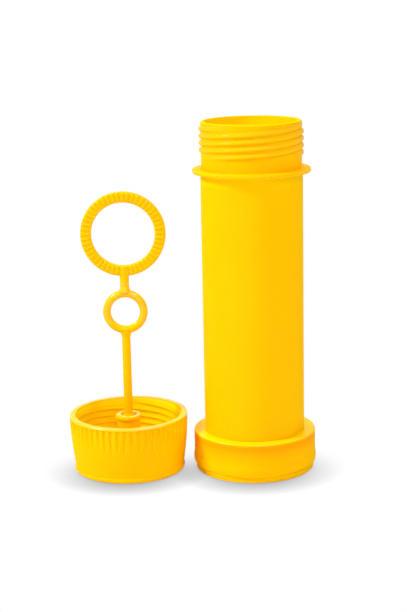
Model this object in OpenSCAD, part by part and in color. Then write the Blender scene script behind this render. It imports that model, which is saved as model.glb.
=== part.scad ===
// Bubble bottle with a screw cap that carries the wand.
// The cap stands upside down beside the bottle, so the wand points up.
// Origin: centre of the bottle's foot, on the surface that it stands on. +Z is up, +X to the bottle's right.

/* [Bottle] */
// Outside diameter of the tube
tube_d = 34.4; // [28:0.1:44]
// Height of the mouth above the surface
bottle_h = 120; // [100:1:180]
// Thickness of the tube's wall
tube_wall = 1.5; // [1:0.1:2.5]
// Thickness of the tube's own floor
tube_floor = 1.4; // [1:0.1:3]
// Outside rounding of the tube's lower corner
tube_corner = 1.6; // [0.5:0.1:2.5]

/* [Neck] */
// Length of the neck above the flange
neck_len = 15.8; // [12:0.1:24]
// Thickness of the neck's wall under the thread
neck_wall = 1.15; // [0.9:0.05:2]
// Rounding of the mouth's lip
lip_round = 0.45; // [0.2:0.05:0.55]
// How far the flange stands out from the tube
flange_w = 2.7; // [1.5:0.1:4]
// Thickness of the flange
flange_t = 1.4; // [1.1:0.1:4]
// Rounding of the flange's edge
flange_round = 0.45; // [0.2:0.05:0.5]
// Height of the cone that carries the flange from below
flange_gusset = 0.5; // [0.3:0.1:2]
// Height that the screw thread takes between neck and cap
thread_h = 0.8; // [0.5:0.05:1.5]
// Play between the cap's bore and the neck's thread
thread_gap = 0.35; // [0.2:0.05:0.6]

/* [Base cup] */
// Height of the base cup
base_h = 13.6; // [10:0.1:25]
// How far the base cup stands out from the tube
base_w = 3.75; // [3.4:0.05:6]
// Thickness of the cup's ledge and floor
base_wall = 1.3; // [1:0.05:2]
// Thickness of the cup's skirt, above the part that draws in
skirt_wall = 1.7; // [1.4:0.05:2.2]
// Thickness of the sleeve that grips the tube
sleeve_wall = 0.95; // [0.8:0.05:1.2]
// Height of the cup's floor above the surface
base_lift = 1.2; // [0.8:0.1:3]
// Rounding of the ledge's outer edge
ledge_round = 0.45; // [0.2:0.05:1.2]
// How far the bead round the cup stands out
bead_proud = 0.25; // [0.1:0.05:0.6]
// Height of the bead's middle above the surface
bead_z = 4.0; // [3:0.1:6]
// Height that the bead's arc would have from edge to edge
bead_h = 4.0; // [2.6:0.1:5]
// How far the cup draws in under the bead
foot_draw = 0.6; // [0.3:0.05:0.9]
// Height of the upright foot under the bead
foot_h = 2.0; // [1.2:0.1:2]
// Rounding of the edge that the cup stands on
foot_round = 0.3; // [0.2:0.05:0.5]

/* [Screw cap] */
// Thickness of the cap's closed end
cap_end_t = 1.8; // [1.2:0.1:3]
// Height of the ridge that the mouth closes on
seal_h = 2.5; // [1:0.1:4]
// Width of the ridge that the mouth closes on
seal_w = 1.6; // [1.2:0.1:2]
// Gap left between rim and flange when the cap is screwed home
close_gap = 0.3; // [0.2:0.05:0.6]
// Thickness of the skirt at the closed end
cap_wall = 0.9; // [0.8:0.05:2]
// How much the skirt's radius grows from the closed end to the rim
skirt_flare = 1.5; // [0.8:0.1:3]
// How far the skirt's outline swells between its ends
skirt_swell = 0.22; // [0.1:0.02:0.6]
// Height of the upright band under the rim
rim_band = 2.3; // [1.8:0.1:4]
// Rounding of the rim's outer edge
rim_round = 0.5; // [0.3:0.05:1]
// How far the bore opens out at the rim
lead_in = 0.5; // [0.2:0.05:0.7]
// Height of the rounded bead round the closed end
end_bead_h = 2.2; // [1.4:0.1:3]
// How far that bead stands out from the skirt
end_bead_proud = 0.25; // [0.1:0.05:0.4]
// Grip flutes round the skirt
flute_count = 55; // [24:1:72]
// Radius of one flute's cutter
flute_r = 0.95; // [0.6:0.05:1.1]
// Depth of a flute at the rim
flute_depth = 0.5; // [0.2:0.05:0.7]
// Plain height between the flutes and the rim's rounding
flute_stop = 0.25; // [0.1:0.05:1]

/* [Socket] */
// Diameter of the hole that holds the wand
socket_d = 4.8; // [4:0.1:8]
// Thickness of the socket's tube
socket_wall = 1.6; // [1:0.1:3]
// How far the rounded lip overhangs the socket's tube
socket_lip = 0.63; // [0.3:0.01:1]
// How far the socket's lip lies under the rim
socket_drop = 0.4; // [0:0.1:3]
// Tightness of the wand's plug in the socket, on the radius
plug_press = 0.05; // [0.02:0.01:0.1]
// Tightness of the tube in the base cup, on the radius
base_press = 0.05; // [0.02:0.01:0.1]

/* [Wand] */
// Diameter of the rod at the socket
rod_d = 3.0; // [2.4:0.1:4]
// Diameter of the rod at the small loop
rod_tip_d = 2.9; // [2.4:0.1:4]
// Length of rod between the cap's rim and the small loop
rod_len = 28.2; // [15:0.1:60]
// Length of the flare where the rod grows to its plug
rod_flare = 1.8; // [1:0.1:6]
// Outside diameter of the small loop
small_loop_d = 15.3; // [10:0.1:24]
// Thickness of the small loop's round wire
small_wire_d = 2.7; // [2:0.1:4]
// Diameter of the stem between the loops
stem_d = 3.1; // [2.6:0.1:4]
// Length of the stem between the loops
stem_len = 4.8; // [2:0.1:12]
// Play between the large loop and the bottle's bore, on the radius
loop_gap = 1.25; // [0.5:0.05:4]
// Width of the large loop's band
band_w = 3.7; // [2.6:0.1:5]
// Thickness of the large loop's band, from front to back
band_t = 2.6; // [2:0.1:4]
// Rounding of the band's edges
band_round = 1.0; // [0.5:0.05:1.2]
// Pitches of the grooves round the large loop that hold the soap film
groove_count = 49; // [24:1:60]
// Radius of one groove's cutter
groove_r = 0.45; // [0.3:0.05:0.6]
// Depth of a groove in the band's face
groove_depth = 0.35; // [0.15:0.05:0.4]
// How far the small fillet cones reach along the rod and the stem
fillet_len = 1.2; // [0.5:0.1:2]
// How far the small fillet cones stand out from the rod and the stem
fillet_w = 0.5; // [0.2:0.05:1]

/* [Stand] */
// Gap between the bottle's foot and the cap beside it
stand_gap = 2.1; // [1:0.1:30]

/* [Hidden] */
$fn = 96;

// Overrun of every cut past the face that it opens
over = 1;
plastic = "gold";

// Radii that the pieces share
tube_r = tube_d / 2;
bore_r = tube_r - tube_wall;
neck_r = bore_r + neck_wall;
flange_r = tube_r + flange_w;
base_r = tube_r + base_w;
bead_r = base_r + bead_proud;
sleeve_r = tube_r + sleeve_wall;
cap_bore_r = neck_r + thread_h + thread_gap;
cap_end_r = cap_bore_r + cap_wall;
rim_r = cap_end_r + skirt_flare;
large_r = bore_r - loop_gap;
small_r = small_loop_d / 2;
rod_r = rod_d / 2;
rod_tip_r = rod_tip_d / 2;
stem_r = stem_d / 2;
socket_r = socket_d / 2;
plug_r = socket_r + plug_press;

// Heights on the bottle
tube_z = base_lift + base_wall;
bore_z = tube_z + tube_floor;
flange_top = bottle_h - neck_len;
flange_z = flange_top - flange_t;
bore_round = max(tube_corner - tube_wall / 2, lip_round);

// Heights in the cap, counted from its closed end
cap_h = cap_end_t + seal_h + neck_len - close_gap;
seal_z = cap_end_t + seal_h;
band_z = cap_h - rim_band;
skirt_z = end_bead_h;
socket_top = cap_h - socket_drop;
lip_r = (socket_wall + socket_lip) / 2;
lip_z = socket_top - lip_r;

// Heights on the wand, counted from the cap's closed end
flare_z = lip_z - rod_flare / 3;
small_z = cap_h + rod_len + small_r;
stem_z = small_z + small_r;
large_z = stem_z + stem_len + large_r;

// Distance between the bottle's axis and the cap's
cap_x = -(bead_r + stand_gap + rim_r);

// Arc of the skirt: centre and radius of the circle through both ends with the wanted swell.
// The skirt follows it in short cones.
skirt_steps = 8;
skirt_dr = skirt_flare;
skirt_dz = band_z - skirt_z;
skirt_half = sqrt(skirt_dr * skirt_dr + skirt_dz * skirt_dz) / 2;
skirt_arc_r = (skirt_half * skirt_half + skirt_swell * skirt_swell) / (2 * skirt_swell);
skirt_in = skirt_arc_r - skirt_swell;
skirt_cx = cap_end_r + skirt_dr / 2 - skirt_in * skirt_dz / (2 * skirt_half);
skirt_cz = skirt_z + skirt_dz / 2 + skirt_in * skirt_dr / (2 * skirt_half);
function skirt_x(z) = skirt_cx + sqrt(skirt_arc_r * skirt_arc_r - (z - skirt_cz) * (z - skirt_cz));

// Arc of the base cup's bead, and the height where a slope of 45 degrees cuts it off below
bead_arc_r = (bead_h * bead_h / 4 + bead_proud * bead_proud) / (2 * bead_proud);
bead_low = foot_h + foot_draw;

// Rectangle with round corners, lying between two radii and two heights
module round_box(r0, r1, z0, z1, round) {
  translate([r0 + round, z0]) square([r1 - r0 - 2 * round, z1 - z0]);
  translate([r0, z0 + round]) square([r1 - r0, z1 - z0 - 2 * round]);
  for (r = [r0 + round, r1 - round])
    for (z = [z0 + round, z1 - round])
      translate([r, z]) circle(round);
}

// Solid disc outline from the axis out to a radius, with round outer corners
module disc_outline(r, z0, z1, round_low, round_high) {
  translate([0, z0 + round_low]) square([r, z1 - z0 - round_low - round_high]);
  translate([0, z0]) square([r - round_low, z1 - z0]);
  translate([0, z1 - round_high]) square([r - round_high, round_high]);
  translate([r - round_low, z0 + round_low]) circle(round_low);
  translate([r - round_high, z1 - round_high]) circle(round_high);
}

// Tube with its floor, its flange and the plain barrel of its neck
module bottle_tube() {
  color(plastic) rotate_extrude() difference() {
    union() {
      translate([0, tube_z + tube_corner]) square([tube_r, flange_z - tube_z]);
      translate([0, tube_z]) square([tube_r - tube_corner, tube_corner]);
      translate([tube_r - tube_corner, tube_z + tube_corner]) circle(tube_corner);
      round_box(bore_r - over, flange_r, flange_z, flange_top, flange_round);
      polygon([
        [bore_r, flange_z - flange_gusset],
        [tube_r, flange_z - flange_gusset],
        [flange_r - 2 * flange_round, flange_z + flange_round / 4],
        [bore_r, flange_z + flange_round / 4]
      ]);
      translate([0, flange_z + flange_t / 2]) square([neck_r, neck_len + flange_t / 2 - lip_round]);
      translate([0, bottle_h - lip_round]) square([neck_r - lip_round, lip_round]);
      translate([neck_r - lip_round, bottle_h - lip_round]) circle(lip_round);
    }
    translate([0, bore_z + bore_round]) square([bore_r, bottle_h]);
    translate([0, bore_z]) square([bore_r - bore_round, bore_round]);
    translate([bore_r - bore_round, bore_z + bore_round]) circle(bore_round);
  }
}

// Outline of the base cup's outside: foot edge, upright foot, bead, wall and ledge
module base_outline() {
  foot_r = base_r - foot_draw;
  square([foot_r - foot_round, foot_round]);
  translate([foot_r - foot_round, foot_round]) circle(foot_round);
  polygon([
    [0, foot_round],
    [foot_r, foot_round],
    [foot_r, foot_h],
    [base_r, bead_low],
    [base_r, bead_z],
    [0, bead_z]
  ]);
  translate([0, bead_z]) square([base_r, base_h - bead_z - ledge_round]);
  translate([0, base_h - ledge_round]) square([base_r - ledge_round, ledge_round]);
  translate([base_r - ledge_round, base_h - ledge_round]) circle(ledge_round);
  intersection() {
    translate([bead_r - bead_arc_r, bead_z]) circle(bead_arc_r);
    translate([base_r - base_wall, bead_low])
      square([base_wall + 2 * bead_proud, bead_z + bead_h - bead_low]);
  }
}

// Cup pressed on the tube's lower end: sleeve, floor, ledge and skirt, hollow from below
module base_cup() {
  grip_r = tube_r - base_press;
  skirt_r = base_r - skirt_wall;
  color(plastic) rotate_extrude() difference() {
    base_outline();
    translate([0, tube_z]) square([grip_r, base_h]);
    translate([0, -over]) square([sleeve_r, base_lift + over]);
    translate([sleeve_r, -over]) square([skirt_r - sleeve_r, base_h - base_wall + over]);
  }
}

// Outline of the cap's outside: bead round the closed end, swelling skirt and rounded rim
module cap_outline() {
  bead = end_bead_h / 2;
  bead_out = cap_end_r + end_bead_proud;
  square([bead_out - bead, skirt_z]);
  translate([bead_out - bead, bead]) circle(bead);
  polygon([
    [0, bead],
    [skirt_x(skirt_z), bead],
    for (i = [0 : skirt_steps])
      let (z = skirt_z + skirt_dz * i / skirt_steps)
        [skirt_x(z), z],
    [0, band_z]
  ]);
  translate([0, band_z]) square([rim_r, rim_band - rim_round]);
  translate([0, cap_h - rim_round]) square([rim_r - rim_round, rim_round]);
  translate([rim_r - rim_round, cap_h - rim_round]) circle(rim_round);
}

// Outline of the space inside the cap, round its socket and its sealing ridge
module cap_hollow() {
  seal_r = (bore_r + neck_r) / 2;
  lead_z = cap_h - rim_band;
  difference() {
    translate([0, cap_end_t]) square([cap_bore_r, cap_h]);
    translate([0, cap_end_t - over]) square([socket_r + socket_wall, lip_z - cap_end_t + over]);
    translate([socket_r + lip_r, lip_z]) circle(lip_r);
    round_box(seal_r - seal_w / 2, seal_r + seal_w / 2, cap_end_t - over, seal_z, seal_w / 3);
  }
  polygon([
    [cap_bore_r - over, lead_z],
    [cap_bore_r, lead_z],
    [cap_bore_r + lead_in, cap_h],
    [cap_bore_r + lead_in, cap_h + over],
    [cap_bore_r - over, cap_h + over]
  ]);
}

// Round grooves for the fingers: upright cutters that run out where the skirt draws in
module grip_flutes() {
  for (i = [0 : flute_count - 1])
    rotate([0, 0, i * 360 / flute_count])
      translate([rim_r - flute_depth + flute_r, 0, skirt_z])
        cylinder(r = flute_r, h = cap_h - rim_round - flute_stop - skirt_z, $fn = 32);
}

// Cap with its socket, standing on its closed end
module screw_cap() {
  color(plastic) translate([cap_x, 0, 0]) difference() {
    rotate_extrude() difference() {
      cap_outline();
      cap_hollow();
      translate([0, cap_end_t]) square([socket_r, cap_h]);
    }
    grip_flutes();
  }
}

// Small cone that eases a round bar into the loop that it meets; it widens from z0 towards z1
module bar_fillet(r, z0, z1) {
  low = min(z0, z1);
  translate([0, 0, low])
    cylinder(
      r1 = z0 < z1 ? r : r + fillet_w,
      r2 = z0 < z1 ? r + fillet_w : r,
      h = abs(z1 - z0)
    );
}

// Smooth small loop of round wire
module small_loop() {
  wire_r = small_wire_d / 2;
  translate([0, 0, small_z]) rotate([90, 0, 0])
    rotate_extrude() translate([small_r - wire_r, 0]) circle(wire_r);
}

// Large loop: a band with round edges and radial grooves across both faces, plain where the stem meets it
module large_loop() {
  groove_y = band_t / 2 - groove_depth + groove_r;
  translate([0, 0, large_z]) rotate([90, 0, 0]) difference() {
    rotate_extrude() round_box(large_r - band_w, large_r, -band_t / 2, band_t / 2, band_round);
    for (side = [-1, 1])
      for (i = [1 : groove_count - 1])
        rotate([0, 0, i * 360 / groove_count - 90])
          translate([large_r - band_w - over, 0, side * groove_y])
            rotate([0, 90, 0]) cylinder(r = groove_r, h = band_w + 2 * over, $fn = 24);
  }
}

// One moulding: plug, flare, rod, small loop, stem and large loop
module bubble_wand() {
  color(plastic) translate([cap_x, 0, 0]) {
    rod_end = small_z - small_r + small_wire_d / 2;
    stem_start = small_z + small_r - small_wire_d / 2;
    stem_end = large_z - large_r + band_w - band_round / 2;
    translate([0, 0, cap_end_t]) cylinder(r = plug_r, h = flare_z - cap_end_t);
    translate([0, 0, flare_z]) cylinder(r1 = plug_r, r2 = rod_r, h = rod_flare);
    translate([0, 0, flare_z + rod_flare])
      cylinder(r1 = rod_r, r2 = rod_tip_r, h = rod_end - flare_z - rod_flare);
    bar_fillet(rod_tip_r, small_z - small_r - fillet_len, rod_end - small_wire_d / 4);
    small_loop();
    bar_fillet(stem_r, stem_z + fillet_len, stem_start + small_wire_d / 4);
    translate([0, 0, stem_start]) cylinder(r = stem_r, h = stem_end - stem_start);
    large_loop();
  }
}

bottle_tube();
base_cup();
screw_cap();
bubble_wand();
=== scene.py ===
"""Looks of the bubble wand bottle: its finishes, its screw threads, the studio and the camera."""

import logging
import math
from dataclasses import dataclass, field
from enum import Enum

import bmesh
import bpy
from mathutils import Matrix, Vector


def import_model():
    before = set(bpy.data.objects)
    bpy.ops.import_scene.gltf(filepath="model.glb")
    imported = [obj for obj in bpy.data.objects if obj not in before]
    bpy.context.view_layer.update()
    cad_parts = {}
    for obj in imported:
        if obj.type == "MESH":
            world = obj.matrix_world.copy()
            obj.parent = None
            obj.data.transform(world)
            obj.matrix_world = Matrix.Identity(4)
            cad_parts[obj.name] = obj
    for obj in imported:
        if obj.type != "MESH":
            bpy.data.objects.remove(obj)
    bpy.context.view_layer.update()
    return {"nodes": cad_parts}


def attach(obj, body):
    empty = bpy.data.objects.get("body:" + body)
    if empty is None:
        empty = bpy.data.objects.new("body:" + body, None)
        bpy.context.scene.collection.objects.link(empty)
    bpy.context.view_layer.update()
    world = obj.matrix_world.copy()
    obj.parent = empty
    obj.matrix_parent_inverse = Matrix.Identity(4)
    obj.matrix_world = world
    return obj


log = logging.getLogger("bubble_wand")
MM = 0.001
PHOTO_WIDTH_PX, PHOTO_HEIGHT_PX = 407, 612

# A Mix node's two inputs and its output by number, since its kinds of data share their names
COLOUR_A, COLOUR_B, COLOUR_OUT = 6, 7, 2
VECTOR_A, VECTOR_B, VECTOR_OUT = 4, 5, 1


def linear(hex_colour: str) -> tuple[float, float, float, float]:
    """Turns an sRGB hex colour to the linear colour that a shader takes.

    Args:
        hex_colour: six hex digits, such as "FFC400".

    Returns:
        Red, green, blue and an alpha of 1.
    """
    shares = [int(hex_colour[i : i + 2], 16) / 255 for i in (0, 2, 4)]
    red, green, blue = (s / 12.92 if s <= 0.04045 else ((s + 0.055) / 1.055) ** 2.4 for s in shares)
    return red, green, blue, 1.0


def add_node(
    tree: bpy.types.NodeTree,
    kind: str,
    inputs: dict[str | int, object] | None = None,
    **properties: str | int,
) -> bpy.types.Node:
    """Adds a node, with its properties and with what its inputs take.

    Args:
        tree: the node tree that takes the node.
        kind: the node's type, such as "ShaderNodeTexNoise".
        inputs: an input's name or number to what it takes: an output to link, or else a value.
        properties: the node's own settings, such as its operation.

    Returns:
        The new node.
    """
    node = tree.nodes.new(kind)
    for name, value in properties.items():
        setattr(node, name, value)
    for name, value in (inputs or {}).items():
        if isinstance(value, bpy.types.NodeSocket):
            tree.links.new(value, node.inputs[name])
        else:
            node.inputs[name].default_value = value
    return node


def empty_tree(owner: bpy.types.Material | bpy.types.World) -> bpy.types.NodeTree:
    """Gives a material or a world a node tree with nothing in it.

    Args:
        owner: what the tree belongs to.

    Returns:
        The tree.
    """
    owner.use_nodes = True
    owner.node_tree.nodes.clear()
    return owner.node_tree


class Side(Enum):
    """Which way a round wall faces, seen from its axis."""

    OUTWARD = 1
    INWARD = -1


@dataclass(frozen=True)
class Profile:
    """How much of something shows at which heights: pairs of millimetres and share, going up."""

    shares: tuple[tuple[float, float], ...]

    def build(self, tree: bpy.types.NodeTree, place: bpy.types.NodeSocket) -> bpy.types.NodeSocket:
        """Adds the nodes that tell a point's share.

        Args:
            tree: the material's node tree.
            place: where on the piece a point lies.

        Returns:
            The socket that gives the share.
        """
        (low, first), *between, (high, last) = self.shares
        height = add_node(tree, "ShaderNodeSeparateXYZ", {"Vector": place}).outputs["Z"]
        along = add_node(
            tree,
            "ShaderNodeMapRange",
            {"Value": height, "From Min": low * MM, "From Max": high * MM},
        )
        ramp = add_node(tree, "ShaderNodeValToRGB", {"Fac": along.outputs["Result"]})
        stops = ramp.color_ramp.elements
        stops[0].color = (first, first, first, 1.0)
        stops[1].color = (last, last, last, 1.0)
        for z, share in between:
            stops.new((z - low) / (high - low)).color = (share, share, share, 1.0)
        return ramp.outputs["Color"]


@dataclass(frozen=True)
class Stretch:
    """A stretch of a piece's height painted in a colour of its own, mostly painted light that lifts
    shade there.
    """

    colour: str
    profile: Profile


@dataclass(frozen=True)
class PaintedInsideLight:
    """The inside of a hollow piece painted paler: painted light that stands in for the light
    reaching it through the thin wall.

    It is all that lies higher than its floor and between two distances from the piece's axis.
    """

    to_r_mm: float
    from_r_mm: float = 0.0
    floor_mm: float = 0.0
    colour: str = "FFD500"

    def build(
        self, tree: bpy.types.NodeTree, place: bpy.types.NodeSocket, axis_x_mm: float
    ) -> bpy.types.NodeSocket:
        """Adds the nodes that tell whether a point lies inside.

        Args:
            tree: the material's node tree.
            place: where on the piece a point lies.
            axis_x_mm: where the piece's upright axis stands.

        Returns:
            The socket that gives 1 inside and 0 elsewhere.
        """
        level = add_node(
            tree,
            "ShaderNodeMapping",
            {"Vector": place, "Location": (-axis_x_mm * MM, 0, 0), "Scale": (1, 1, 0)},
        )
        reach = add_node(
            tree, "ShaderNodeVectorMath", {0: level.outputs["Vector"]}, operation="LENGTH"
        )
        middle_r_mm = (self.from_r_mm + self.to_r_mm) / 2
        half_width_mm = (self.to_r_mm - self.from_r_mm) / 2
        near = add_node(
            tree,
            "ShaderNodeMath",
            {0: reach.outputs["Value"], 1: middle_r_mm * MM, 2: half_width_mm * MM},
            operation="COMPARE",
        )
        height = add_node(tree, "ShaderNodeSeparateXYZ", {"Vector": place}).outputs["Z"]
        above = add_node(
            tree, "ShaderNodeMath", {0: height, 1: self.floor_mm * MM}, operation="GREATER_THAN"
        )
        both = {0: near.outputs["Value"], 1: above.outputs["Value"]}
        return add_node(tree, "ShaderNodeMath", both, operation="MULTIPLY").outputs["Value"]


@dataclass(frozen=True)
class MouldedPolypropylene:
    """Injection-moulded polypropylene, pigmented yellow.

    To the eye it is a warm yellow that light enters a little way, so that thin walls and shaded
    hollows turn orange, under an even satin gloss with the faint waviness of a moulded skin.
    """

    name: str
    # The pigment where the melt ran thin and where it ran deep
    colour: str = "FFBF00"
    deep_colour: str = "FFB900"
    # Stretches of the height in colours of their own, mostly painted light
    stretches: tuple[Stretch, ...] = ()
    # Painted light on the inside, if any
    inside: PaintedInsideLight | None = None
    # Where the piece's upright axis stands
    axis_x_mm: float = 0.0
    # The pigmented body has no gloss of its own: what shines is its skin
    roughness: float = 0.2
    roughness_spread: float = 0.04
    specular: float = 0.0
    # Polypropylene's index is about 1.49
    ior: float = 1.49
    # How much the skin that forms against the mould shines, and how much where that was polished
    skin: float = 0.05
    skin_roughness: float = 0.2
    polished_skin: float = 0.5
    polished: Profile | None = None
    # How far light travels in the plastic, red first
    depth_mm: tuple[float, float, float] = (1.2, 1.0, 0.2)
    translucency: float = 0.4
    # Share of the light under a small ridge that has spread in the plastic, which evens its
    # shading to that of the round wall that carries it, and which way that wall faces
    evenness: float = 0.0
    wall: Side = Side.OUTWARD
    # Width of the broad streaks that the pigment leaves as the melt flows
    flow_mm: float = 24.0
    flow_detail: float = 3.0
    flow_roughness: float = 0.55
    # Width and height of the waves of the moulded skin
    wave_mm: float = 5.0
    wave_height_mm: float = 0.012
    # Width and height of the fine grain that spark erosion leaves on a mould; the real one is near
    # 0.05 mm wide, drawn coarser so that it shows in the gloss
    grain_mm: float = 0.35
    grain_height_mm: float = 0.002
    skin_detail: float = 2.0

    def _build_colour(
        self, tree: bpy.types.NodeTree, place: bpy.types.NodeSocket
    ) -> bpy.types.NodeSocket:
        """Adds the nodes of the colour: flow streaks, then the stretches, then the painted light of
        the inside.

        Args:
            tree: the material's node tree.
            place: where on the piece a point lies.

        Returns:
            The socket that gives the colour.
        """
        flow = add_node(
            tree,
            "ShaderNodeTexNoise",
            {
                "Vector": place,
                "Scale": 1 / (self.flow_mm * MM),
                "Detail": self.flow_detail,
                "Roughness": self.flow_roughness,
            },
        )
        layers = [(flow.outputs["Fac"], self.deep_colour)]
        layers += [(s.profile.build(tree, place), s.colour) for s in self.stretches]
        if self.inside:
            layers.append((self.inside.build(tree, place, self.axis_x_mm), self.inside.colour))
        colour = linear(self.colour)
        for share, over in layers:
            mix = {"Factor": share, COLOUR_A: colour, COLOUR_B: linear(over)}
            colour = add_node(tree, "ShaderNodeMix", mix, data_type="RGBA").outputs[COLOUR_OUT]
        return colour

    def _build_skin(
        self, tree: bpy.types.NodeTree, place: bpy.types.NodeSocket
    ) -> tuple[bpy.types.NodeSocket, bpy.types.NodeSocket]:
        """Adds the nodes of the moulded skin: its waves and its grain.

        Args:
            tree: the material's node tree.
            place: where on the piece a point lies.

        Returns:
            The sockets that give the roughness and the direction of the surface.
        """
        normal, waves = None, []
        for width_mm, height_mm in (
            (self.wave_mm, self.wave_height_mm),
            (self.grain_mm, self.grain_height_mm),
        ):
            noise = {"Vector": place, "Scale": 1 / (width_mm * MM), "Detail": self.skin_detail}
            wave = add_node(tree, "ShaderNodeTexNoise", noise).outputs["Fac"]
            bump = {"Height": wave, "Strength": 1.0, "Distance": height_mm * MM}
            if normal:
                bump["Normal"] = normal
            normal = add_node(tree, "ShaderNodeBump", bump).outputs["Normal"]
            waves.append(wave)
        gloss = add_node(
            tree,
            "ShaderNodeMapRange",
            {
                "Value": waves[0],
                "To Min": self.roughness - self.roughness_spread,
                "To Max": self.roughness + self.roughness_spread,
            },
        )
        return gloss.outputs["Result"], normal

    def _even_out(
        self,
        tree: bpy.types.NodeTree,
        place: bpy.types.NodeSocket,
        normal: bpy.types.NodeSocket,
    ) -> bpy.types.NodeSocket:
        """Adds the nodes that turn the surface's direction towards that of the round wall.

        Args:
            tree: the material's node tree.
            place: where on the piece a point lies.
            normal: the direction of the surface.

        Returns:
            The socket that gives the direction that the body is shaded with.
        """
        way = self.wall.value
        level = add_node(
            tree,
            "ShaderNodeMapping",
            {
                "Vector": place,
                "Location": (-way * self.axis_x_mm * MM, 0, 0),
                "Scale": (way, way, 0),
            },
        )
        wall = add_node(
            tree, "ShaderNodeVectorMath", {0: level.outputs["Vector"]}, operation="NORMALIZE"
        )
        mix = {"Factor": self.evenness, VECTOR_A: normal, VECTOR_B: wall.outputs["Vector"]}
        blend = add_node(tree, "ShaderNodeMix", mix, data_type="VECTOR").outputs[VECTOR_OUT]
        return add_node(
            tree, "ShaderNodeVectorMath", {0: blend}, operation="NORMALIZE"
        ).outputs["Vector"]

    def build(self) -> bpy.types.Material:
        """Makes the material.

        Returns:
            The material, ready for a slot.
        """
        material = bpy.data.materials.new(self.name)
        tree = empty_tree(material)
        place = add_node(tree, "ShaderNodeTexCoord").outputs["Object"]
        roughness, normal = self._build_skin(tree, place)
        plastic = {
            "Base Color": self._build_colour(tree, place),
            "Roughness": roughness,
            "IOR": self.ior,
            "Normal": self._even_out(tree, place, normal) if self.evenness else normal,
            "Specular IOR Level": self.specular,
            "Subsurface Weight": self.translucency,
            "Subsurface Radius": self.depth_mm,
            "Subsurface Scale": MM,
            "Coat Weight": self.skin,
            "Coat Roughness": self.skin_roughness,
            "Coat IOR": self.ior,
            "Coat Normal": normal,
        }
        if self.polished:
            share = self.polished.build(tree, place)
            skins = {"Value": share, "To Min": self.skin, "To Max": self.polished_skin}
            skin = add_node(tree, "ShaderNodeMapRange", skins)
            plastic["Coat Weight"] = skin.outputs["Result"]
        shader = add_node(tree, "ShaderNodeBsdfPrincipled", plastic)
        add_node(tree, "ShaderNodeOutputMaterial", {"Surface": shader.outputs["BSDF"]})
        return material


def dress(node: bpy.types.Object, material: bpy.types.Material) -> None:
    """Puts one material in every slot of a piece.

    Args:
        node: the piece.
        material: what it takes.
    """
    if not node.material_slots:
        node.data.materials.append(material)
    for slot in node.material_slots:
        slot.material = material


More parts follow.
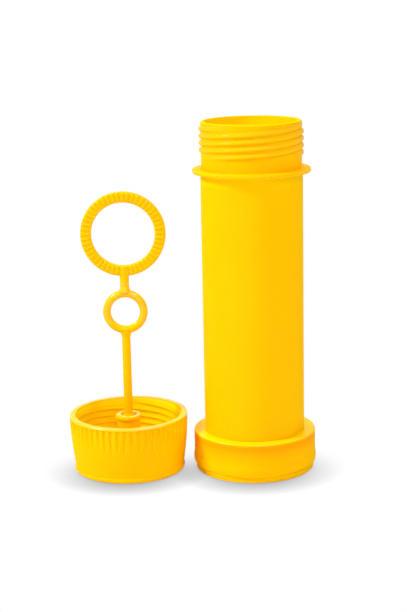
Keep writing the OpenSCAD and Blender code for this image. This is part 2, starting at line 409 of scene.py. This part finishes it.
@dataclass
class ScrewThread:
    """A screw thread of several starts, each a ridge wound up a round wall. In millimetres."""

    name: str
    side: Side
    wall_r: float
    height: float
    # Height of the first ridge's middle where it crosses the +X side
    phase_z: float
    # Heights between which the ridges run, measured at their middle
    low_z: float
    high_z: float
    foot_w: float
    crest_w: float
    round_r: float
    lead: float = 7.05
    starts: int = 3
    # How far round a ridge takes to rise from the wall at its ends
    fade_deg: float = 40.0
    axis_x: float = 0.0
    # How deep a ridge's foot lies in the wall
    bury: float = 0.12
    # Where a flank runs out to the wall in a hollow: share of the ridge's height and of its flank
    knee_height: float = 0.12
    knee_width: float = 0.72
    steps_a_turn: int = 96
    crest_segments: int = 3

    def _radius(self, height: float) -> float:
        """Radius in metres of what stands so many millimetres out of the wall."""
        return (self.wall_r + self.side.value * height) * MM

    def _section(self, ridge: bmesh.types.BMesh) -> bmesh.types.BMFace:
        """Draws the ridge's section on the +X side, with its middle at the lowest height.

        Args:
            ridge: the mesh that takes it.

        Returns:
            The section's face.
        """
        foot, crest = self.foot_w / 2 * MM, self.crest_w / 2 * MM
        knee = crest + (foot - crest) * self.knee_width
        half = (
            (self._radius(-self.bury), foot),
            (self._radius(self.height * self.knee_height), knee),
            (self._radius(self.height), crest),
        )
        low = self.low_z * MM
        lower = [ridge.verts.new((r, 0.0, low - z)) for r, z in half]
        upper = [ridge.verts.new((r, 0.0, low + z)) for r, z in reversed(half)]
        return ridge.faces.new(lower + upper)

    def _ridge(self, start: int) -> bmesh.types.BMesh:
        """Winds one ridge.

        Args:
            start: the number of the start, from 0.

        Returns:
            The ridge as a closed mesh, on the thread's own axis, in metres.
        """
        ridge = bmesh.new()
        section = self._section(ridge)
        first = (self.low_z - self.phase_z) / self.lead - start / self.starts
        turn = Matrix.Rotation(math.tau * first, 3, "Z")
        bmesh.ops.rotate(ridge, verts=ridge.verts[:], cent=(0, 0, 0), matrix=turn)
        turns = (self.high_z - self.low_z) / self.lead
        steps = math.ceil(turns * self.steps_a_turn)
        bmesh.ops.spin(
            ridge,
            geom=[section, *section.edges, *section.verts],
            cent=(0, 0, 0),
            axis=(0, 0, 1),
            dvec=(0, 0, turns * self.lead * MM / steps),
            angle=math.tau * turns,
            steps=steps,
            use_merge=False,
            use_duplicate=False,
        )
        bmesh.ops.recalc_face_normals(ridge, faces=ridge.faces[:])
        bmesh.ops.bevel(
            ridge,
            geom=[edge for edge in ridge.edges if self._runs_along(edge)],
            offset=self.round_r * MM,
            offset_type="OFFSET",
            affect="EDGES",
            segments=self.crest_segments,
            profile=0.5,
            material=-1,
        )
        self._fade(ridge, start)
        bmesh.ops.recalc_face_normals(ridge, faces=ridge.faces[:])
        return ridge

    def _runs_along(self, edge: bmesh.types.BMEdge) -> bool:
        """Tells whether an edge runs along the ridge, at its crest or at its knee.

        Args:
            edge: an edge of the ridge before it is rounded.

        Returns:
            True where the edge is to be rounded.
        """
        same_r, same_angle = 0.01 * MM, 0.001
        radii = [math.hypot(v.co.x, v.co.y) for v in edge.verts]
        angles = [math.atan2(v.co.y, v.co.x) for v in edge.verts]
        level = any(
            all(abs(r - self._radius(height)) < same_r for r in radii)
            for height in (self.height * self.knee_height, self.height)
        )
        return level and abs(angles[0] - angles[1]) > same_angle

    def _fade(self, ridge: bmesh.types.BMesh, start: int) -> None:
        """Lets the ridge sink in the wall towards its ends.

        Args:
            ridge: the ridge.
            start: the number of its start, from 0.
        """
        foot_r = self._radius(-self.bury)
        rise = self.lead * self.fade_deg / 360
        for vert in ridge.verts:
            middle = self._middle_z(vert.co, start)
            share = max(0.0, min(1.0, (middle - self.low_z) / rise, (self.high_z - middle) / rise))
            r = math.hypot(vert.co.x, vert.co.y)
            new_r = foot_r + (r - foot_r) * math.sin(share * math.pi / 2)
            vert.co.x *= new_r / r
            vert.co.y *= new_r / r

    def _middle_z(self, point: Vector, start: int) -> float:
        """Finds the ridge's middle on the side of the thread where a point lies.

        Args:
            point: a point of the ridge, in metres.
            start: the number of the ridge's start, from 0.

        Returns:
            The height of the ridge's middle in millimetres.
        """
        turn = math.atan2(point.y, point.x) / math.tau
        z = self.phase_z + self.lead * (start / self.starts + turn)
        return z + self.lead * round((point.z / MM - z) / self.lead)

    def build(self, finish: bpy.types.Material) -> bpy.types.Object:
        """Winds all ridges and makes them one piece.

        Args:
            finish: the material of the wall that carries them.

        Returns:
            The thread's object, in the scene.
        """
        mesh = bpy.data.meshes.new(self.name)
        whole = bmesh.new()
        for start in range(self.starts):
            ridge = self._ridge(start)
            ridge.to_mesh(mesh)
            ridge.free()
            whole.from_mesh(mesh)
        bmesh.ops.translate(whole, verts=whole.verts[:], vec=(self.axis_x * MM, 0, 0))
        for face in whole.faces:
            face.smooth = True
        whole.to_mesh(mesh)
        whole.free()
        piece = bpy.data.objects.new(self.name, mesh)
        bpy.context.collection.objects.link(piece)
        dress(piece, finish)
        return piece


@dataclass
class Bottle:
    """The bottle: tube and base cup from the frame, with the thread on its neck."""

    nodes: dict[str, bpy.types.Object]
    # To the eye an even warm yellow, with painted light just under the flange that lifts the shade
    # the flange casts there, a flange that is a little glossier, and a bore painted paler as
    # painted light
    tube_finish: MouldedPolypropylene = MouldedPolypropylene(
        "moulded_polypropylene_bottle",
        stretches=(
            # Painted light: paler just under the flange, lifting the flange's shadow on the tube
            Stretch(
                "FFD200",
                Profile(((98.6, 0.0), (100.2, 0.6), (101.6, 1.0), (102.7, 1.0), (102.9, 0.0))),
            ),
        ),
        # Painted light: the bore paler, standing in for light that comes through the thin wall
        inside=PaintedInsideLight(to_r_mm=15.75),
        polished_skin=0.12,
        polished=Profile(((102.4, 0.0), (102.8, 1.0), (104.3, 1.0), (104.8, 0.0))),
    )
    # To the eye soft ridges with faint pinkish highlights
    thread_finish: MouldedPolypropylene = MouldedPolypropylene(
        "moulded_polypropylene_neck_thread",
        colour="FFC000",
        deep_colour="FFBA00",
        translucency=0.0,
        evenness=0.55,
        skin=0.2,
        skin_roughness=0.14,
    )
    # To the eye a darker orange band just under the ledge, paler in the groove at its foot, where
    # painted light lifts the groove's shade, and pale and glossy on the ledge, whose top has
    # painted light
    base_finish: MouldedPolypropylene = MouldedPolypropylene(
        "moulded_polypropylene_base",
        stretches=(
            # A darker orange band just under the ledge, deepest a little below its edge
            Stretch(
                "FFA000",
                Profile(
                    ((7.2, 0.0), (9.4, 0.3), (11.2, 0.8), (12.4, 1.0), (13.2, 0.3), (13.5, 0.0))
                ),
            ),
            # Painted light in the groove at the foot, lifting its shade
            Stretch("FFC600", Profile(((1.2, 0.0), (1.7, 1.0), (2.4, 1.0), (3.0, 0.0)))),
            # Painted light on the ledge's top
            Stretch("FFD000", Profile(((13.4, 0.0), (13.55, 1.0), (13.6, 1.0)))),
        ),
        polished_skin=0.32,
        polished=Profile(((12.9, 0.0), (13.3, 1.0), (13.6, 1.0))),
    )
    thread: ScrewThread = field(
        default_factory=lambda: ScrewThread(
            name="neck_thread",
            side=Side.OUTWARD,
            wall_r=16.85,
            height=0.7,
            phase_z=109.25,
            low_z=108.6,
            high_z=118.7,
            foot_w=2.3,
            crest_w=0.6,
            round_r=0.2,
        )
    )

    def build(self) -> None:
        """Dresses the frame's nodes and winds the thread."""
        dress(self.nodes["bottle_tube"], self.tube_finish.build())
        dress(self.nodes["base_cup"], self.base_finish.build())
        thread = self.thread.build(self.thread_finish.build())
        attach(thread, "bottle")
        log.info(
            "bottle: tube and base cup dressed, %s has %d faces",
            thread.name,
            len(thread.data.polygons),
        )


@dataclass
class CapAndWand:
    """The opened cap with the wand in its socket, from the frame, with the thread in the cap."""

    nodes: dict[str, bpy.types.Object]
    # To the eye a warm yellow with a shiny rim, paler inside apart from the socket: painted light
    # that stands in for light through the thin wall
    cap_finish: MouldedPolypropylene = MouldedPolypropylene(
        "moulded_polypropylene_cap",
        # Painted light inside the cap, between the socket and the wall
        inside=PaintedInsideLight(from_r_mm=6.0, to_r_mm=18.4, floor_mm=1.0, colour="FFDE00"),
        axis_x_mm=-43.7,
        polished_skin=1.0,
        polished=Profile(((19.0, 0.0), (19.3, 1.0), (19.7, 1.0), (19.8, 0.7))),
    )
    # To the eye calm, pale ridges in the shade of the cap; their pale colour is painted light, like
    # that of the cap's inside
    thread_finish: MouldedPolypropylene = MouldedPolypropylene(
        "moulded_polypropylene_cap_thread",
        colour="FFD400",
        deep_colour="FFCE00",
        axis_x_mm=-43.7,
        translucency=0.0,
        evenness=0.55,
        wall=Side.INWARD,
    )
    # To the eye a plain yellow with a sheen, which turns to highlights on the small loop
    wand_finish: MouldedPolypropylene = MouldedPolypropylene(
        "moulded_polypropylene_wand",
        translucency=0.0,
        skin=0.12,
        skin_roughness=0.1,
        polished_skin=0.6,
        polished=Profile(((51.0, 0.0), (52.0, 1.0), (66.0, 1.0), (67.0, 0.0))),
    )
    thread: ScrewThread = field(
        default_factory=lambda: ScrewThread(
            name="cap_thread",
            side=Side.INWARD,
            wall_r=18.0,
            height=0.8,
            phase_z=7.0,
            low_z=6.2,
            high_z=18.2,
            foot_w=1.7,
            crest_w=0.45,
            round_r=0.14,
            axis_x=-43.7,
        )
    )

    def build(self) -> None:
        """Dresses the frame's nodes and winds the thread."""
        dress(self.nodes["screw_cap"], self.cap_finish.build())
        dress(self.nodes["bubble_wand"], self.wand_finish.build())
        thread = self.thread.build(self.thread_finish.build())
        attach(thread, "cap")
        log.info(
            "cap: cap and wand dressed, %s has %d faces", thread.name, len(thread.data.polygons)
        )


@dataclass(frozen=True)
class Softbox:
    """A soft white area lamp that looks at the middle of the object. In metres and watts."""

    name: str
    place: tuple[float, float, float]
    width: float
    height: float
    power: float
    aim: tuple[float, float, float] = (-0.02, 0.0, 0.05)

    def build(self) -> bpy.types.Object:
        """Hangs the lamp.

        Returns:
            The lamp's object, in the scene.
        """
        lamp = bpy.data.lights.new(self.name, "AREA")
        lamp.shape = "RECTANGLE"
        lamp.size, lamp.size_y = self.width, self.height
        lamp.energy = self.power
        stand = bpy.data.objects.new(self.name, lamp)
        stand.location = self.place
        ahead = Vector(self.aim) - Vector(self.place)
        stand.rotation_euler = ahead.to_track_quat("-Z", "Y").to_euler()
        bpy.context.collection.objects.link(stand)
        return stand


@dataclass
class Studio:
    """A white table under soft lamps. In metres."""

    table_half_width: float = 6.0
    table_colour: str = "E8E8E8"
    # How far from the object its painted shadow on the table begins, and how deep it gets
    shadow_reach: float = 0.0115
    shadow_depth: float = 0.62
    # How far the painted shadow's light seems to lean over from behind, which throws the shadow to
    # the front
    shadow_lean_deg: float = 64.0
    shadow_samples: int = 16
    # How bright the white all round is as a light, where the camera sees it as 1
    sky_strength: float = 0.3
    lamps: tuple[Softbox, ...] = (
        Softbox("key_softbox", (-0.837, -0.25, 0.82), width=0.26, height=0.26, power=10.5),
        Softbox("fill_softbox", (0.48, -0.5, 0.893), width=0.3, height=0.3, power=4.0),
        Softbox("front_softbox", (0.1, -0.86, 0.55), width=0.5, height=0.4, power=2.45),
        Softbox("top_softbox", (-0.02, 0.5, 0.916), width=0.6, height=0.6, power=4.2),
    )

    def _shown(self, tree: bpy.types.NodeTree) -> bpy.types.NodeSocket:
        """Adds the nodes that tell what the camera sees, also by way of gloss or clear material.

        Args:
            tree: the node tree of a backdrop.

        Returns:
            The socket that gives 1 where the backdrop is seen, and 0 where it only lights.
        """
        path = add_node(tree, "ShaderNodeLightPath")
        shown = path.outputs["Is Camera Ray"]
        for way in ("Is Glossy Ray", "Is Transmission Ray"):
            either = {0: shown, 1: path.outputs[way]}
            shown = add_node(tree, "ShaderNodeMath", either, operation="MAXIMUM").outputs["Value"]
        return shown

    def _table_material(self) -> bpy.types.Material:
        """Makes the table's white card: to the eye white with the object's soft shadow painted on,
        darkened by how much of the nearby sky the object hides; to other rays a plain card.

        Returns:
            The material, ready for a slot.
        """
        material = bpy.data.materials.new("white_card")
        tree = empty_tree(material)
        lean = math.radians(self.shadow_lean_deg)
        towards = add_node(tree, "ShaderNodeCombineXYZ", {"Y": math.sin(lean), "Z": math.cos(lean)})
        near = add_node(
            tree,
            "ShaderNodeAmbientOcclusion",
            {"Normal": towards.outputs["Vector"], "Distance": self.shadow_reach},
            samples=self.shadow_samples,
        )
        depth = {0: near.outputs["AO"], 1: self.shadow_depth}
        shade = add_node(tree, "ShaderNodeMath", depth, operation="POWER")
        card = add_node(tree, "ShaderNodeBsdfDiffuse", {"Color": linear(self.table_colour)})
        # Painted shadow: what the camera sees is white paper darkened where the object is near
        painted_shadow_paper = add_node(tree, "ShaderNodeEmission", {"Strength": shade.outputs["Value"]})
        both = {0: self._shown(tree), 1: card.outputs["BSDF"], 2: painted_shadow_paper.outputs["Emission"]}
        surface = add_node(tree, "ShaderNodeMixShader", both)
        add_node(tree, "ShaderNodeOutputMaterial", {"Surface": surface.outputs["Shader"]})
        return material

    def _build_table(self) -> None:
        """Lays the table as one square."""
        mesh = bpy.data.meshes.new("white_table")
        sheet = bmesh.new()
        bmesh.ops.create_grid(sheet, x_segments=1, y_segments=1, size=self.table_half_width)
        sheet.to_mesh(mesh)
        sheet.free()
        table = bpy.data.objects.new("white_table", mesh)
        bpy.context.collection.objects.link(table)
        dress(table, self._table_material())

    def _build_sky(self) -> None:
        """Makes the world white behind the table and softly bright all round."""
        world = bpy.data.worlds.new("studio_white")
        bpy.context.scene.world = world
        tree = empty_tree(world)
        strengths = {"Value": self._shown(tree), "To Min": self.sky_strength, "To Max": 1.0}
        strength = add_node(tree, "ShaderNodeMapRange", strengths).outputs["Result"]
        white = {"Color": linear("FFFFFF"), "Strength": strength}
        sky = add_node(tree, "ShaderNodeBackground", white)
        add_node(tree, "ShaderNodeOutputWorld", {"Surface": sky.outputs["Background"]})

    def build(self) -> None:
        """Sets up table, sky and lamps."""
        self._build_table()
        self._build_sky()
        for lamp in self.lamps:
            lamp.build()
            log.info("studio: %s", lamp.name)


@dataclass
class PhotoCamera:
    """The camera at the photograph's place, as fitted to the object's edges. In millimetres."""

    place: tuple[float, float, float] = (-16.96, -483.7, 167.8)
    # How far it looks down, and how far it is turned about its own line of sight
    pitch_deg: float = 12.90
    roll_deg: float = 1.151
    focal_px: float = 1452.4
    sensor_mm: float = 36.0
    nearest: float = 10.0
    farthest: float = 50000.0

    def _turn(self) -> Matrix:
        """Finds the camera's turn: across the picture, up the picture and back from it.

        Returns:
            The turn as a matrix of four rows.
        """
        pitch, roll = math.radians(self.pitch_deg), math.radians(self.roll_deg)
        right = Vector((1, 0, 0))
        up = Vector((0, math.sin(pitch), math.cos(pitch)))
        ahead = Vector((0, math.cos(pitch), -math.sin(pitch)))
        turned_right = right * math.cos(roll) - up * math.sin(roll)
        turned_up = right * math.sin(roll) + up * math.cos(roll)
        return Matrix((turned_right, turned_up, -ahead)).transposed().to_4x4()

    def build(self) -> None:
        """Makes the scene's camera."""
        camera = bpy.data.cameras.new("photo_camera")
        camera.sensor_width = self.sensor_mm
        camera.lens = self.focal_px * self.sensor_mm / max(PHOTO_WIDTH_PX, PHOTO_HEIGHT_PX)
        camera.clip_start, camera.clip_end = self.nearest * MM, self.farthest * MM
        holder = bpy.data.objects.new("photo_camera", camera)
        holder.matrix_world = Matrix.Translation(Vector(self.place) * MM) @ self._turn()
        bpy.context.collection.objects.link(holder)
        bpy.context.scene.camera = holder
        log.info("camera: lens %.2f mm", camera.lens)


def main() -> None:
    """Builds the scene around the frame, piece by piece."""
    logging.basicConfig(level=logging.INFO, format="%(name)s: %(message)s")
    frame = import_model()
    PhotoCamera().build()
    Bottle(frame["nodes"]).build()
    CapAndWand(frame["nodes"]).build()
    Studio().build()
    bpy.context.scene.view_settings.view_transform = "Standard"


if __name__ == "__main__":
    main()
